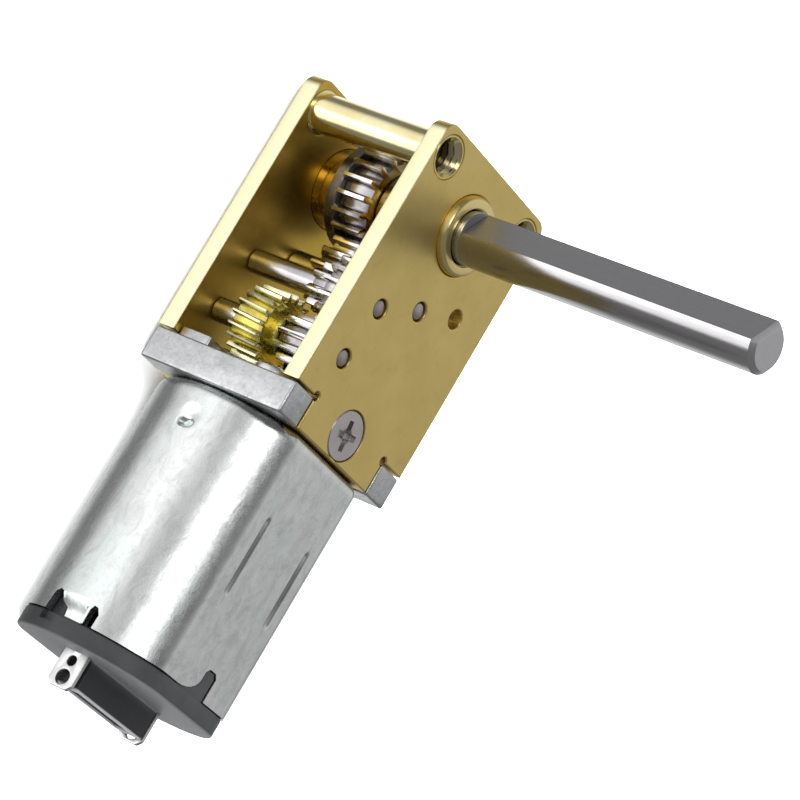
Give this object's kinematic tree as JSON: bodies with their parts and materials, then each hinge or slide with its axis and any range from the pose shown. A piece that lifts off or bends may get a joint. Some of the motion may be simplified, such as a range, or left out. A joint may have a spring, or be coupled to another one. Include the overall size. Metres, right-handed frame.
{
  "type": "worm gearmotor",
  "caption": "Miniature DC gearmotor: a flat-sided motor drives a worm and spur gears between open brass plates, turning a D-shaped steel shaft at right angles.",
  "frame": {"origin": "midway between the two mounting threads, on the outer face of the front plate", "axes": "+Z along the output shaft, pointing away from the front plate; +Y from the motor towards the gearbox; +X across the gearbox"},
  "size_m": [0.012, 0.0354, 0.0306],
  "materials": {
    "brass": "satin rolled and turned brass",
    "zinc": "matte zinc die casting",
    "steel": "ground bright steel",
    "plated_steel": "nickel-plated drawn steel, mottled",
    "tin_plate": "tin-plated sheet",
    "black_plastic": "moulded black plastic",
    "bronze": "oiled sintered bronze",
    "copper": "enamelled copper",
    "magnet": "sintered magnet, dull"
  },
  "bodies": {
    "housing": {"front_plate": "brass", "back_plate": "brass", "gearbox_base": "zinc", "standoff_left": "brass", "standoff_right": "brass", "front_plate_screw": "steel", "back_plate_screw": "steel", "motor_screw_left": "steel", "motor_screw_right": "steel", "front_bush": "brass", "back_bush": "brass", "motor_can": "plated_steel", "end_cap": "black_plastic", "motor_bearing_front": "bronze", "motor_bearing_rear": "bronze", "magnet_left": "magnet", "magnet_right": "magnet", "brush_front": "copper", "brush_back": "copper", "terminal_left": "tin_plate", "terminal_right": "tin_plate"},
    "rotor": {"motor_shaft": "steel", "worm": "steel", "rotor_core": "steel", "winding_1": "copper", "winding_2": "copper", "winding_3": "copper", "commutator": "copper"},
    "stage_a": {"axle_a": "steel", "worm_wheel": "brass", "pinion_a": "steel", "spacer_a": "steel"},
    "stage_b": {"axle_b": "steel", "gear_b": "steel", "pinion_b": "steel", "spacer_b": "steel"},
    "stage_c": {"axle_c": "steel", "gear_c": "steel", "pinion_c": "steel", "spacer_c": "steel"},
    "output": {"output_shaft": "steel", "output_gear": "steel", "output_spacer_front": "brass", "output_spacer_back": "steel"}
  },
  "joints": [
    {"name": "output_spin", "type": "hinge", "parent": "housing", "child": "output", "pos_m": [0, -0.0023, -0.005], "axis": [0, 0, 1], "continuous": true},
    {"name": "stage_c_spin", "type": "hinge", "parent": "housing", "child": "stage_c", "pos_m": [0, -0.0071, -0.005], "axis": [0, 0, 1], "continuous": true},
    {"name": "stage_b_spin", "type": "hinge", "parent": "housing", "child": "stage_b", "pos_m": [-0.00303, -0.00858, -0.005], "axis": [0, 0, 1], "continuous": true},
    {"name": "stage_a_spin", "type": "hinge", "parent": "housing", "child": "stage_a", "pos_m": [-0.00355, -0.01191, -0.005], "axis": [0, 0, 1], "continuous": true},
    {"name": "rotor_spin", "type": "hinge", "parent": "housing", "child": "rotor", "pos_m": [0, -0.0164, -0.005], "axis": [0, 1, 0], "continuous": true}
  ],
  "couplings": [
    {"joint": "stage_c_spin", "follows": "output_spin", "ratio": -1.9091},
    {"joint": "stage_b_spin", "follows": "output_spin", "ratio": 3.8182},
    {"joint": "stage_a_spin", "follows": "output_spin", "ratio": -7.6364},
    {"joint": "rotor_spin", "follows": "output_spin", "ratio": 152.73}
  ]
}
